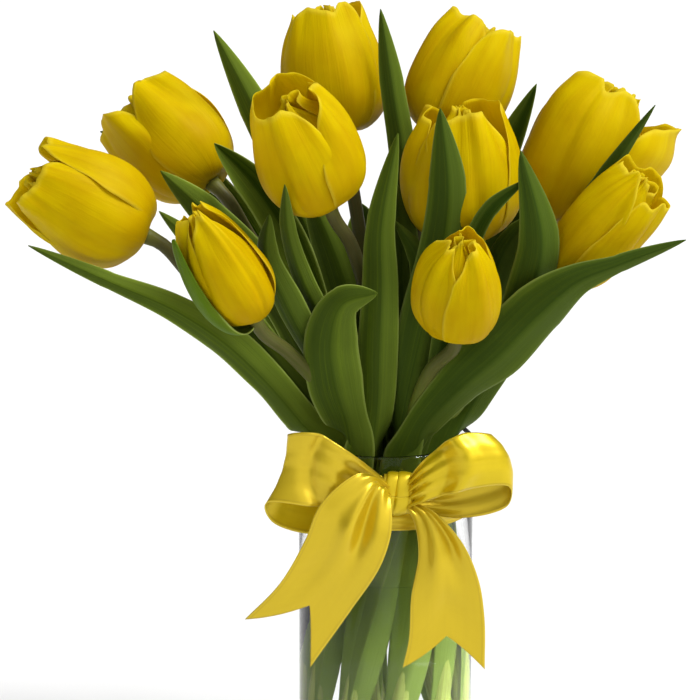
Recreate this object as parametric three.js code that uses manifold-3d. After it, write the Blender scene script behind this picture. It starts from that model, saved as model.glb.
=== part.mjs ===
// Ten cut tulips with their leaves, standing in a glass cylinder vase of water, with a satin
// ribbon tied round the vase in a bow.
// Millimetres. The vase stands on z = 0 with its axis on x = y = 0, and the bow faces -Y.

import * as THREE from "three";
import { mergeVertices } from "three/addons/utils/BufferGeometryUtils.js";
import Module from "manifold-3d";

const wasm = await Module();
wasm.setup();

// Vase: a plain cylinder of 3.5 by 8 inches with a thick base.
const VASE_RADIUS = 44.45;
const VASE_HEIGHT = 203;
const VASE_WALL = 3;
const VASE_BASE = 8;
const VASE_CHAMFER = 1.5;
const ROUND_SIDES = 36;

// Water, and the clearance that it keeps to the glass and to what stands in it.
const WATER_LEVEL = 134;
const CLEARANCE = 0.35;

// Bunch: the stems pass the neck on a ring and turn about the vase's axis below it.
const NECK = 205;
const FOOT = VASE_BASE + 1;
const RING = 29.5;
const CORE = 9.8;
const SPIRAL = 80;
const LOWER_HEIGHTS = [FOOT, 60, 110, 160, NECK];

// Stems.
const STEM_FOOT_RADIUS = 4.4;
const STEM_HEAD_RADIUS = 3.4;
const STEM_SIDES = 6;
const STEM_STEPS = 11;
const STEM_LEAD = 12;
const SEAT = 0.3;

// Leaves: blade thickness, the span that gets a row of its own halfway, how far the edges fold
// back, and how a leaf clasps its stem below the neck, as share of the way up from its root, reach
// from the stem's axis and share of its half width. Only a deep-rooted leaf is held halfway up.
const BLADE = 1.2;
const LONG_SPAN = 50;
const CLASP_FOLD = 0.75;
const OPEN_FOLD = 0.35;
const ROOT = [0, 1.6, 0.4];
const LOW_CLASP = [0.46, 6.6, 1];
const CLASP = [0.97, 6.8, 1];
const DEEP_ROOT = 100;

// Blooms: petal thickness, grid, half angle, inset of the inner three, the cup that they grow
// from, and how much shorter a petal's edges are than its middle.
const PETAL = 0.9;
const OUTER_GRID = [4, 4];
const INNER_GRID = [3, 3];
const PETAL_HALF_ANGLE = 58;
const INNER_INSET = 3.6;
const CUP_RADIUS = 3.2;
const CUP = [[0, 0], [4.6, 0], [4.6, 5], [0, 5]];
const TIP_DROP = 0.27;
const TIP_POWER = 2.5;

// Ribbon: width, thickness and the height of the band's middle on the vase.
const RIBBON_THICKNESS = 0.9;
const BAND_WIDTH = 25;
const BAND_MIDDLE = 178.5;

const YELLOW = 0xf2c90c;
const GOLD = 0xe3c62e;
const LEAF_GREEN = 0x4d7a26;

// One entry a tulip: where its stem passes the neck (turn in degrees, distance from the axis),
// the stem's course above it, the bloom's base and tip, its radius, its mouth, the turn of its
// petals, and what each petal has of its own: share of the length, and how far its tip opens.
const TULIPS = [
  {
    neck: [-157.5, RING],
    course: [[-43, -16, 224], [-58, -19, 243], [-74, -22, 264], [-98, -24, 292]],
    base: [-119, -25, 311],
    tip: [-178, -32, 345],
    radius: 27,
    mouth: 17,
    turn: 20,
    petals: [[1, 1], [0.96, 0], [0.98, 3], [0.95, 0], [0.96, 2], [0.93, 0]],
  },
  {
    neck: [157.5, RING],
    course: [[-38, 10, 245], [-51, 10, 276], [-68, 11, 302]],
    base: [-87, 12, 330],
    tip: [-129, 36, 370],
    radius: 25,
    mouth: 19,
    turn: 75,
    petals: [[1, 2], [0.95, 0], [0.97, 5], [0.96, 0], [0.99, 2], [0.94, 0]],
  },
  {
    neck: [112.5, RING],
    course: [[-10, 26, 250], [-12, 29, 290], [-17, 34, 324]],
    base: [-22, 38, 351],
    tip: [-32, 44, 417],
    radius: 26,
    mouth: 17,
    turn: 30,
    petals: [[1, 0], [0.96, 0], [0.98, 2], [0.95, 0], [1, 1], [0.96, 0]],
  },
  {
    neck: [180, CORE],
    course: [[-8, -10, 250], [-11, -18, 283], [-18, -25, 307]],
    base: [-29, -42, 331],
    tip: [-51, -62, 389],
    radius: 26,
    mouth: 15,
    turn: 0,
    petals: [[0.98, 1], [0.94, 0], [1, 4], [0.95, 0], [0.97, 2], [0.93, 0]],
  },
  {
    neck: [-112.5, RING],
    course: [[-24, -30, 226], [-37, -38, 243], [-49, -48, 258]],
    base: [-65, -62, 279],
    tip: [-94, -80, 336],
    radius: 20,
    mouth: 8,
    turn: 60,
    petals: [[1, 0], [0.94, 0], [0.95, 2], [0.96, 0], [0.98, 0], [0.93, 0]],
  },
  {
    neck: [67.5, RING],
    course: [[11, 28, 250], [15, 29, 295], [19, 30, 328]],
    base: [26, 31, 351],
    tip: [53, 48, 407],
    radius: 25,
    mouth: 17,
    turn: 90,
    petals: [[1, 3], [0.95, 0], [0.97, 2], [0.96, 0], [0.98, 2], [0.95, 0]],
  },
  {
    neck: [0, CORE],
    course: [[20, -3, 245], [31, -6, 279]],
    base: [38, -8, 306],
    tip: [36, -12, 377],
    radius: 30,
    mouth: 17,
    turn: 40,
    petals: [[1, 1], [0.95, 0], [0.96, 3], [0.94, 0], [0.98, 2], [0.95, 0]],
  },
  {
    neck: [-67.5, RING],
    course: [[15, -32, 228], [22, -40, 247]],
    base: [33, -58, 271],
    tip: [35, -85, 324],
    radius: 22,
    mouth: 10,
    turn: 85,
    petals: [[1, 1], [0.95, 0], [0.95, 2], [0.96, 0], [0.98, 1], [0.93, 0]],
  },
  {
    neck: [22.5, RING],
    course: [[39, 14, 240], [55, 18, 276], [70, 18, 298]],
    base: [83, 18, 310],
    tip: [119, 29, 378],
    radius: 28,
    mouth: 20,
    turn: 5,
    petals: [[0.86, 18], [0.95, 2], [0.97, 3], [0.96, 0], [1, 6], [0.97, 1]],
  },
  {
    neck: [-22.5, RING],
    course: [[39, -14, 227], [54, -20, 249], [70, -26, 274]],
    base: [85, -30, 291],
    tip: [127, -42, 344],
    radius: 18,
    mouth: 13,
    turn: 90,
    petals: [[1, 6], [0.95, 0], [1, 0], [0.96, 0], [0.95, 3], [0.95, 0]],
  },
];

// One entry a leaf: the stem it grows on, the compass turn of its outer face below the neck and
// above it, the height of its root, its half width where it clasps the stem, and its course above
// the neck as x, y, z, half width and, where it twists, a turn about its own midrib in degrees.
const LEAVES = [
  {
    stem: 1, side: -130, face: -105, root: 42, clasp: 10,
    course: [
      [-42.5, -26, 216, 9.5], [-60, -40, 241, 9], [-80, -46, 262, 9.5], [-104, -50, 279, 7],
      [-134, -52, 293, 4.5], [-174, -50, 311, 1],
    ],
  },
  {
    stem: 1, side: -30, face: -95, root: 50, clasp: 7,
    course: [
      [-36, -20, 222, 7], [-55, -30, 248, 8], [-76, -36, 280, 7], [-94, -38, 308, 5], [-111, -40, 326, 1],
    ],
  },
  {
    stem: 1, side: 75, face: 90, root: 150, clasp: 5.5,
    course: [
      [-27, -8, 228, 6], [-35, -17, 270, 8], [-48, -21, 308, 9], [-66, -18, 336, 8], [-85, -14, 355, 1],
    ],
  },
  {
    stem: 2, side: -120, face: -95, root: 145, clasp: 5.5,
    course: [
      [-36, 0, 230, 8], [-50, -6, 266, 9], [-68, -11, 295, 10], [-88, -17, 319, 8], [-111, -24, 343, 1],
    ],
  },
  {
    stem: 2, side: 150, face: 125, root: 42, clasp: 10,
    course: [
      [-40, 20, 236, 9], [-62, 30, 282, 10], [-86, 46, 316, 9], [-118, 64, 340, 7], [-148, 70, 347, 1],
    ],
  },
  {
    stem: 2, side: 60, face: 115, root: 150, clasp: 5.5,
    course: [[-34, 28, 222, 8], [-54, 46, 254, 10], [-74, 60, 280, 8], [-94, 70, 296, 1]],
  },
  {
    stem: 3, side: -150, face: -90, root: 145, clasp: 5.5,
    course: [
      [-17, 20, 236, 7], [-32, 18, 284, 7], [-49, 14, 328, 8], [-64, 12, 364, 8], [-86, 14, 407, 1],
    ],
  },
  {
    stem: 3, side: 110, face: 110, root: 42, clasp: 10,
    course: [[-19, 38, 235, 9], [-30, 50, 280, 11], [-42, 62, 318, 9], [-52, 72, 346, 1]],
  },
  {
    stem: 3, side: 0, face: 80, root: 150, clasp: 5.5,
    course: [[-8, 38, 226, 7], [-8, 53, 262, 10], [-10, 68, 292, 9], [-13, 88, 306, 1]],
  },
  {
    stem: 4, side: 165, face: 90, root: 150, clasp: 5.5,
    course: [
      [-19, 5, 232, 6], [-30, 9, 262, 8], [-46, 8, 294, 9], [-62, 6, 322, 7], [-79, 2, 342, 1],
    ],
  },
  {
    stem: 4, side: -60, face: -90, root: 50, clasp: 7,
    course: [[-10, -8, 236, 9], [-17, -10, 270, 12], [-27, -11, 302, 10], [-41, -12, 334, 1]],
  },
  {
    stem: 4, side: -130, face: -100, root: 160, clasp: 5,
    course: [
      [-15, -17, 226, 6], [-27, -27, 258, 6], [-41, -44, 292, 5], [-48, -62, 320, 4], [-49, -78, 346, 1],
    ],
  },
  {
    stem: 5, side: -55, face: -85, root: 42, clasp: 9,
    course: [
      [-5, -35, 226, 9], [-4, -36, 256, 10], [-3, -37, 288, 9], [-3, -37, 318, 7], [5, -38, 364, 1],
    ],
  },
  {
    stem: 5, side: -150, face: -95, root: 50, clasp: 9,
    course: [
      [-20, -39, 218, 11], [-26, -46, 240, 14], [-28, -52, 264, 13], [-22, -59, 284, 8], [-5, -66, 291, 1],
    ],
  },
  {
    stem: 5, side: 110, face: -115, root: 160, clasp: 5,
    course: [
      [-21, -24, 226, 5], [-37, -34, 254, 7], [-49, -46, 280, 8], [-59, -55, 308, 6], [-57, -58, 328, 1],
    ],
  },
  {
    stem: 6, side: -150, face: -90, root: 145, clasp: 5.5,
    course: [[5, 22, 242, 7], [8, 16, 292, 7], [9, 14, 336, 7], [3, 16, 378, 6], [-3, 20, 417, 1]],
  },
  {
    stem: 6, side: 90, face: 85, root: 42, clasp: 10,
    course: [[13, 41, 238, 9], [16, 52, 280, 11], [18, 64, 318, 9], [20, 78, 352, 1]],
  },
  {
    stem: 6, side: -20, face: 45, root: 150, clasp: 5.5,
    course: [[23, 37, 230, 7], [32, 50, 268, 9], [43, 62, 300, 8], [54, 74, 332, 1]],
  },
  {
    stem: 7, side: -70, face: -80, root: 150, clasp: 5.5,
    course: [[13, -11, 234, 7], [18, -17, 266, 7], [16, -21, 298, 5], [4, -24, 318, 1]],
  },
  {
    stem: 7, side: 165, face: -100, root: 145, clasp: 5.5,
    course: [[7, 0, 240, 9], [8, 0, 276, 10], [7, 0, 306, 8], [4, -1, 334, 1]],
  },
  {
    stem: 7, side: 50, face: 90, root: 145, clasp: 5.5,
    course: [
      [24, 12, 238, 7], [36, 20, 276, 8], [46, 25, 312, 8], [60, 23, 346, 7], [75, 16, 380, 1],
    ],
  },
  {
    stem: 8, side: -150, face: -90, root: 50, clasp: 9,
    course: [
      [11, -31, 236, 10], [18, -33, 268, 12], [26, -38, 304, 11], [29, -45, 338, 9], [25, -50, 378, 1],
    ],
  },
  {
    stem: 8, side: -60, face: -80, root: 42, clasp: 10,
    course: [
      [18, -38, 217, 9], [35, -44, 238, 12], [54, -51, 257, 15], [73, -58, 279, 14],
      [91, -64, 296, 8], [110, -68, 305, 4.5], [142, -71, 318, 1],
    ],
  },
  {
    stem: 8, side: 50, face: 100, root: 150, clasp: 5.5,
    course: [
      [23, -27, 232, 6], [30, -31, 270, 7], [39, -38, 306, 5], [49, -44, 328, 4], [67, -46, 343, 1],
    ],
  },
  {
    stem: 9, side: -60, face: -90, root: 145, clasp: 5.5,
    course: [[40, 5, 228, 7], [60, 8, 262, 6], [82, 5, 296, 5], [106, -14, 336, 4], [131, -20, 375, 1]],
  },
  {
    stem: 9, side: 20, face: -50, root: 42, clasp: 9,
    course: [[42, 13, 214, 9], [58, 11, 236, 10], [75, 7, 256, 8], [94, 2, 278, 1]],
  },
  {
    stem: 9, side: 110, face: 60, root: 60, clasp: 7,
    course: [[40, 28, 235, 9], [56, 42, 276, 11], [72, 54, 310, 9], [88, 64, 340, 1]],
  },
  {
    stem: 10, side: 150, face: -105, root: 150, clasp: 5.5,
    course: [
      [33, -7, 230, 7], [45, -11, 264, 8], [54, -19, 292, 8], [62, -27, 311, 5], [75, -34, 324, 1],
    ],
  },
  {
    stem: 10, side: -30, face: -80, root: 42, clasp: 10,
    course: [
      [44, -14, 224, 9], [58, -26, 252, 10], [69, -45, 284, 11], [74, -53, 314, 10], [64, -47, 357, 1],
    ],
  },
];

// The short leaf that cups the fifth bloom from below: its turn about the bloom, half angle,
// share of the bloom's length that it covers, and its distance outside the petals.
const CUPPING_LEAF = { tulip: 5, turn: 205, halfAngle: 38, share: 0.86, outside: 3.8, foot: -4.5 };

// Ribbon edges as pairs of curves, upper and lower or left and right, from the knot outward.
const LEFT_LOOP = [
  [
    [0, -54, 194], [-14, -64, 208], [-34, -70, 222], [-48, -64, 220.5], [-46, -55, 216],
    [-22, -50, 205], [2, -49, 193],
  ],
  [
    [0, -54, 178], [-14, -64, 181], [-36, -73, 186], [-59, -66, 186], [-56, -56, 173],
    [-33, -50, 165.5], [2, -49, 178],
  ],
];
const RIGHT_LOOP = [
  [
    [10, -54, 194], [20, -62, 209], [35, -68, 221.5], [50, -63, 220], [49, -55, 216],
    [30, -50, 205], [8, -49, 193],
  ],
  [
    [10, -54, 180], [20, -62, 186], [38, -70, 194], [59, -66, 194.5], [58.5, -56, 181],
    [36, -50, 173.5], [8, -49, 178],
  ],
];
const LEFT_TAIL = [
  [[0, -56, 194], [-13, -70, 202.5], [-32, -77, 189], [-40, -76, 170], [-52, -70, 147], [-70, -60, 125]],
  [[2, -56, 182], [2, -66, 190], [2, -76, 175], [-3, -76, 158], [-17, -68, 133], [-38, -60, 99]],
];
const RIGHT_TAIL = [
  [[8, -54, 182], [13, -58, 175], [15.5, -60, 158], [12, -60, 136], [11, -58, 114], [8, -56, 98]],
  [[12, -54, 184], [24, -60, 179], [37, -63, 165], [45, -62, 146], [48.5, -59, 124], [49, -56, 96.5]],
];
const LOOP_ROWS = 10;
const TAIL_ROWS = 8;
const TAIL_NOTCH = 0.16;
const KNOT = { at: [5, -51, 186.5], radius: 8, depth: 0.75, half: 10.5 };

const rad = THREE.MathUtils.degToRad;
const lerp = THREE.MathUtils.lerp;
const vector = ([x, y, z]) => new THREE.Vector3(x, y, z);

function solid(geometry) {
  const bare = geometry.clone();
  bare.deleteAttribute("normal");
  bare.deleteAttribute("uv");
  const merged = mergeVertices(bare, 1e-4);
  return new wasm.Manifold(new wasm.Mesh({
    numProp: 3,
    vertProperties: merged.attributes.position.array,
    triVerts: new Uint32Array(merged.index.array),
  }));
}

function joined(solids) {
  return solids.reduce((sum, next) => sum.add(next));
}

// A join can leave a sealed pocket or a loose chip: the outer shell alone is kept.
function shell(body) {
  const parts = body.decompose();
  return parts.reduce((best, next) => (next.volume() > best.volume() ? next : best));
}

function meshOf(name, body, material) {
  const { vertProperties, triVerts } = body.getMesh();
  const geometry = new THREE.BufferGeometry();
  geometry.setAttribute("position", new THREE.BufferAttribute(new Float32Array(vertProperties), 3));
  geometry.setIndex(new THREE.BufferAttribute(new Uint32Array(triVerts), 1));
  geometry.computeVertexNormals();
  const mesh = new THREE.Mesh(geometry, material);
  mesh.name = name;
  return mesh;
}

function evenStops(count) {
  return Array.from({ length: count + 1 }, (_, i) => i / count);
}

// A thin sheet of the given thickness about the surface at(u, v), u across and v along, both
// from 0 to 1 with a row at each stop, split into the same triangles on its two faces and
// closed round its rim.
function sheet(columns, stops, thickness, at) {
  const rows = stops.length - 1;
  const step = 1e-3;
  const positions = [];
  const point = new THREE.Vector3();
  for (const side of [0.5, -0.5]) {
    for (let row = 0; row <= rows; row++) {
      for (let column = 0; column <= columns; column++) {
        const u = column / columns;
        const v = stops[row];
        const across = at(Math.min(u + step, 1), v).sub(at(Math.max(u - step, 0), v));
        const along = at(u, Math.min(v + step, 1)).sub(at(u, Math.max(v - step, 0)));
        const normal = across.cross(along).normalize();
        point.copy(at(u, v)).addScaledVector(normal, side * thickness);
        positions.push(point.x, point.y, point.z);
      }
    }
  }
  const layer = (columns + 1) * (rows + 1);
  const corner = (column, row, back) => back * layer + row * (columns + 1) + column;
  const index = [];
  for (let row = 0; row < rows; row++) {
    for (let column = 0; column < columns; column++) {
      const front = [[0, 0], [1, 0], [1, 1], [0, 1]].map(([c, r]) => corner(column + c, row + r, 0));
      const back = front.map((i) => i + layer);
      index.push(front[0], front[1], front[2], front[0], front[2], front[3]);
      index.push(back[0], back[2], back[1], back[0], back[3], back[2]);
    }
  }
  const rim = [];
  for (let column = 0; column < columns; column++) rim.push([column, 0]);
  for (let row = 0; row < rows; row++) rim.push([columns, row]);
  for (let column = columns; column > 0; column--) rim.push([column, rows]);
  for (let row = rows; row > 0; row--) rim.push([0, row]);
  rim.forEach(([column, row], i) => {
    const [nextColumn, nextRow] = rim[(i + 1) % rim.length];
    const a = corner(column, row, 0);
    const b = corner(nextColumn, nextRow, 0);
    index.push(a, a + layer, b, b, a + layer, b + layer);
  });
  const geometry = new THREE.BufferGeometry();
  geometry.setAttribute("position", new THREE.BufferAttribute(new Float32Array(positions), 3));
  geometry.setIndex(index);
  return solid(geometry);
}

// A round rod of changing radius along a curve.
function rod(curve, sides, steps, radiusAt) {
  const frames = curve.computeFrenetFrames(steps, false);
  const positions = [];
  const spoke = new THREE.Vector3();
  for (let i = 0; i <= steps; i++) {
    const centre = curve.getPointAt(i / steps);
    for (let k = 0; k < sides; k++) {
      const angle = (k / sides) * 2 * Math.PI;
      spoke.copy(frames.normals[i]).multiplyScalar(Math.cos(angle));
      spoke.addScaledVector(frames.binormals[i], Math.sin(angle));
      spoke.multiplyScalar(radiusAt(i / steps)).add(centre);
      positions.push(spoke.x, spoke.y, spoke.z);
    }
  }
  const index = [];
  for (let i = 0; i < steps; i++) {
    for (let k = 0; k < sides; k++) {
      const a = i * sides + k;
      const b = i * sides + ((k + 1) % sides);
      index.push(a, b, b + sides, a, b + sides, a + sides);
    }
  }
  const last = steps * sides;
  for (let k = 1; k < sides - 1; k++) {
    index.push(0, k + 1, k);
    index.push(last, last + k, last + k + 1);
  }
  const geometry = new THREE.BufferGeometry();
  geometry.setAttribute("position", new THREE.BufferAttribute(new Float32Array(positions), 3));
  geometry.setIndex(index);
  return solid(geometry);
}

function turned(profile, sides) {
  const points = profile.map(([r, z]) => new THREE.Vector2(r, z));
  return new THREE.LatheGeometry(points, sides).rotateX(Math.PI / 2);
}

function spiral(z) {
  return z < NECK ? (-SPIRAL * (NECK - z)) / (NECK - FOOT) : 0;
}

function compass(turn) {
  return new THREE.Vector3(Math.cos(rad(turn)), Math.sin(rad(turn)), 0);
}

// Where a tulip's stem passes height z below the neck.
function stemBelow({ neck: [turn, distance] }, z) {
  return compass(turn + spiral(z)).multiplyScalar(distance).setZ(z);
}

function bloomAxis({ base, tip }) {
  return vector(tip).sub(vector(base)).normalize();
}

function stemCurve(tulip) {
  const axis = bloomAxis(tulip);
  const head = vector(tulip.base).addScaledVector(axis, -SEAT);
  const points = LOWER_HEIGHTS.map((z) => stemBelow(tulip, z));
  points.push(...tulip.course.map(vector));
  points.push(head.clone().addScaledVector(axis, -STEM_LEAD), head);
  return new THREE.CatmullRomCurve3(points);
}

function stemBody(tulip, grow) {
  const curve = stemCurve(tulip);
  const radiusAt = (share) => lerp(STEM_FOOT_RADIUS, STEM_HEAD_RADIUS, share) + grow;
  return rod(curve, STEM_SIDES, STEM_STEPS, radiusAt);
}

// A leaf clasps its stem up to the neck, in a trough whose outer face looks away from the stem,
// and follows its own course from there to its tip.
function leafBody({ stem, side, face: open, root, clasp, course }, grow) {
  const tulip = TULIPS[stem - 1];
  const spine = [];
  const faces = [];
  const forms = [];
  const held = [ROOT, LOW_CLASP, CLASP];
  if (root > DEEP_ROOT) held.splice(1, 1);
  for (const [share, reach, part] of held) {
    const z = lerp(root, NECK, share);
    const outward = compass(side + spiral(z));
    spine.push(stemBelow(tulip, z).addScaledVector(outward, reach));
    faces.push(outward);
    forms.push(new THREE.Vector3(part * clasp, CLASP_FOLD, 0));
  }
  for (const [x, y, z, half, roll = 0] of course) {
    spine.push(new THREE.Vector3(x, y, z));
    faces.push(compass(open));
    forms.push(new THREE.Vector3(half, OPEN_FOLD, rad(roll)));
  }
  const spineCurve = new THREE.CatmullRomCurve3(spine);
  const faceCurve = new THREE.CatmullRomCurve3(faces);
  const formCurve = new THREE.CatmullRomCurve3(forms);
  const at = (u, v) => {
    const centre = spineCurve.getPoint(v);
    const along = spineCurve.getTangent(v);
    const [half, fold, roll] = formCurve.getPoint(v).toArray();
    const face = faceCurve.getPoint(v).projectOnPlane(along).normalize();
    face.applyAxisAngle(along, roll);
    const across = along.clone().cross(face).normalize();
    const reach = (2 * u - 1) * (half + grow);
    return centre.addScaledVector(across, -reach).addScaledVector(face, -Math.abs(reach) * fold);
  };
  const spans = spine.length - 1;
  const stops = [0];
  for (let i = 1; i <= spans; i++) {
    const long = spine[i].distanceTo(spine[i - 1]) > LONG_SPAN;
    if (long && i >= held.length) stops.push((i - 0.5) / spans);
    stops.push(i / spans);
  }
  return sheet(2, stops, BLADE + 2 * grow, at);
}

// Petal surface in the bloom's own frame, +Z along its axis: the whorl's profile from its foot
// to its mouth, turned through the petal's angle, with a rounded tip.
function petalSurface({ start, radius, mouth, length, foot }, turn, halfAngle, tipDrop, open) {
  const profile = new THREE.CubicBezierCurve(
    new THREE.Vector2(start, foot),
    new THREE.Vector2(1.3 * radius, foot - 2),
    new THREE.Vector2(1.12 * radius, 0.62 * length),
    new THREE.Vector2(mouth, length),
  );
  return (u, v) => {
    const side = 2 * u - 1;
    const share = v * (1 - tipDrop * Math.abs(side) ** TIP_POWER);
    const place = profile.getPoint(share);
    const angle = rad(turn + side * halfAngle);
    const reach = place.x + open * share ** 3;
    return new THREE.Vector3(reach * Math.cos(angle), reach * Math.sin(angle), place.y);
  };
}

function bloomFrame(tulip) {
  const axis = bloomAxis(tulip);
  const tilt = new THREE.Quaternion().setFromUnitVectors(new THREE.Vector3(0, 0, 1), axis);
  return new THREE.Matrix4().compose(vector(tulip.base), tilt, new THREE.Vector3(1, 1, 1));
}

function placed(body, matrix) {
  return body.transform([...matrix.elements]);
}

function bloomBody(tulip) {
  const length = vector(tulip.tip).distanceTo(vector(tulip.base));
  const parts = [solid(turned(CUP, STEM_SIDES))];
  tulip.petals.forEach(([share, open], i) => {
    const inset = i % 2 ? INNER_INSET : 0;
    const whorl = {
      start: CUP_RADIUS,
      radius: tulip.radius - inset,
      mouth: tulip.mouth - inset,
      length: length * share,
      foot: 1.2 + 0.9 * inset,
    };
    const turn = tulip.turn + 60 * i;
    const at = petalSurface(whorl, turn, PETAL_HALF_ANGLE, TIP_DROP, open);
    const [columns, rows] = i % 2 ? INNER_GRID : OUTER_GRID;
    parts.push(sheet(columns, evenStops(rows), PETAL, at));
  });
  return placed(shell(joined(parts)), bloomFrame(tulip));
}

function cuppingLeafBody() {
  const { turn, halfAngle, share, outside, foot } = CUPPING_LEAF;
  const tulip = TULIPS[CUPPING_LEAF.tulip - 1];
  const length = vector(tulip.tip).distanceTo(vector(tulip.base));
  const form = {
    start: STEM_HEAD_RADIUS / 2,
    radius: tulip.radius + outside,
    mouth: tulip.radius + outside,
    length: length * share,
    foot,
  };
  const at = petalSurface(form, turn, halfAngle, 0.6, 0);
  return placed(sheet(3, evenStops(7), BLADE, at), bloomFrame(tulip));
}

function ribbonStrip([first, second], rows, notch) {
  const left = new THREE.CatmullRomCurve3(first.map(vector));
  const right = new THREE.CatmullRomCurve3(second.map(vector));
  const at = (u, v) => {
    const share = v * (1 - notch * (1 - Math.abs(2 * u - 1)));
    return left.getPoint(share).lerp(right.getPoint(share), u);
  };
  return sheet(2, evenStops(rows), RIBBON_THICKNESS, at);
}

function ribbonBody() {
  const inner = VASE_RADIUS + CLEARANCE;
  const outer = inner + RIBBON_THICKNESS;
  const low = BAND_MIDDLE - BAND_WIDTH / 2;
  const high = BAND_MIDDLE + BAND_WIDTH / 2;
  const section = [[inner, low], [outer, low], [outer, high], [inner, high], [inner, low]];
  const band = turned(section, ROUND_SIDES);
  const { at, radius, depth, half } = KNOT;
  const barrel = turned([
    [0, -half], [0.7 * radius, -half], [radius, -half / 2],
    [radius, half / 2], [0.7 * radius, half], [0, half],
  ], 8);
  barrel.scale(1, depth, 1).translate(...at);
  return shell(joined([
    solid(band),
    solid(barrel),
    ribbonStrip(LEFT_LOOP, LOOP_ROWS, 0),
    ribbonStrip(RIGHT_LOOP, LOOP_ROWS, 0),
    ribbonStrip(LEFT_TAIL, TAIL_ROWS, TAIL_NOTCH),
    ribbonStrip(RIGHT_TAIL, TAIL_ROWS, TAIL_NOTCH),
  ]));
}

function leafyStemBody(number, grow) {
  const parts = [stemBody(TULIPS[number - 1], grow)];
  for (const leaf of LEAVES.filter(({ stem }) => stem === number)) parts.push(leafBody(leaf, grow));
  if (!grow && CUPPING_LEAF.tulip === number) parts.push(cuppingLeafBody());
  return shell(joined(parts));
}

const glass = new THREE.MeshStandardMaterial({
  color: 0xf4f8f8, roughness: 0.03, metalness: 0, transparent: true, opacity: 0.25,
});
const clearWater = new THREE.MeshStandardMaterial({
  color: 0xe8f0ec, roughness: 0.02, metalness: 0, transparent: true, opacity: 0.2,
});
const satin = new THREE.MeshStandardMaterial({ color: GOLD, roughness: 0.35, metalness: 0 });
const petalSkin = new THREE.MeshStandardMaterial({ color: YELLOW, roughness: 0.5, metalness: 0 });
const leafSkin = new THREE.MeshStandardMaterial({ color: LEAF_GREEN, roughness: 0.45, metalness: 0 });

const tulipVase = new THREE.Group();
tulipVase.name = "bunch_of_tulips";

const inside = VASE_RADIUS - VASE_WALL;
tulipVase.add(meshOf("vase", solid(turned([
  [0, 0], [VASE_RADIUS - VASE_CHAMFER, 0], [VASE_RADIUS, VASE_CHAMFER], [VASE_RADIUS, VASE_HEIGHT],
  [inside, VASE_HEIGHT], [inside, VASE_BASE], [0, VASE_BASE],
], ROUND_SIDES)), glass));

const waterRadius = inside - CLEARANCE;
const waterFloor = VASE_BASE + CLEARANCE;
const fill = solid(turned([
  [0, waterFloor], [waterRadius, waterFloor], [waterRadius, WATER_LEVEL], [0, WATER_LEVEL],
], ROUND_SIDES));
const stems = TULIPS.map((_, i) => leafyStemBody(i + 1, CLEARANCE));
tulipVase.add(meshOf("water", shell(fill.subtract(joined(stems))), clearWater));

tulipVase.add(meshOf("ribbon", ribbonBody(), satin));

TULIPS.forEach((tulip, i) => {
  tulipVase.add(meshOf(`stem_${i + 1}`, leafyStemBody(i + 1, 0), leafSkin.clone()));
  tulipVase.add(meshOf(`bloom_${i + 1}`, bloomBody(tulip), petalSkin.clone()));
});

export default tulipVase;
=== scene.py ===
"""A bunch of ten yellow tulips in a glass cylinder vase of water, with a satin bow.

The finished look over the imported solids. Shapes are worked out in millimetres from the same
dimensions as the part's source, and the meshes are made in metres.
"""

import math
import random

import bpy
import numpy as np
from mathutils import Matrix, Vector


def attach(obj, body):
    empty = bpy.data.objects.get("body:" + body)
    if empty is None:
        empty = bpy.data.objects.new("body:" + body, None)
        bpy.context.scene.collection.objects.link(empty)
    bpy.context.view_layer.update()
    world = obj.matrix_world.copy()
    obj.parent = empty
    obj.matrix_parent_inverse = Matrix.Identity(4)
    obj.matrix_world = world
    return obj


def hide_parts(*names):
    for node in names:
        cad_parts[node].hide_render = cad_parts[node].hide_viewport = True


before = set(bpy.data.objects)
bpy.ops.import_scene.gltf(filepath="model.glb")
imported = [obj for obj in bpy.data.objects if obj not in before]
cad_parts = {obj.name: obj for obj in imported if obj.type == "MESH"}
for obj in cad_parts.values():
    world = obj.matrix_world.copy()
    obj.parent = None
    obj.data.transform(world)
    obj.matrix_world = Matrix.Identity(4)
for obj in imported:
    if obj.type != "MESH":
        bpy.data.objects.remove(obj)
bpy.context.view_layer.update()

MM = 0.001

# Vase, a plain glass cylinder, and its water.
VASE_RADIUS = 44.45
VASE_HEIGHT = 203
VASE_WALL = 3
VASE_BASE = 8
FOOT_ROUND = 2.2
INNER_ROUND = 4
HOLLOW_DEPTH = 0.6
HOLLOW_EDGE = (34, 37)
CAP_RADIUS = 2
ROUND_SIDES = 128
WATER_LEVEL = 134

# How the water's level rises towards the glass: distance from the wall and rise. The fill
# laps into the glass by a hair, so that no air shows between them.
MENISCUS = [(0, 1.1), (0.3, 0.75), (0.8, 0.3), (1.8, 0)]
WATER_LAP = 0.02

# Bunch: the stems pass the neck on a ring and turn about the vase's axis below it.
NECK = 205
FOOT = VASE_BASE + 1
RING = 29.5
CORE = 9.8
SPIRAL = 80
LOWER_HEIGHTS = [FOOT, 60, 110, 160, NECK]

# The height over which stems and leaves change their tone.
TONED_HEIGHT = 420

# Stems.
STEM_FOOT_RADIUS = 4.4
STEM_HEAD_RADIUS = 3.4
STEM_LEAD = 12
STEM_SUNK = 1.5
STEM_FLARE = 0.9
STEM_SIDES = 18
STEM_ROWS = 90

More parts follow.
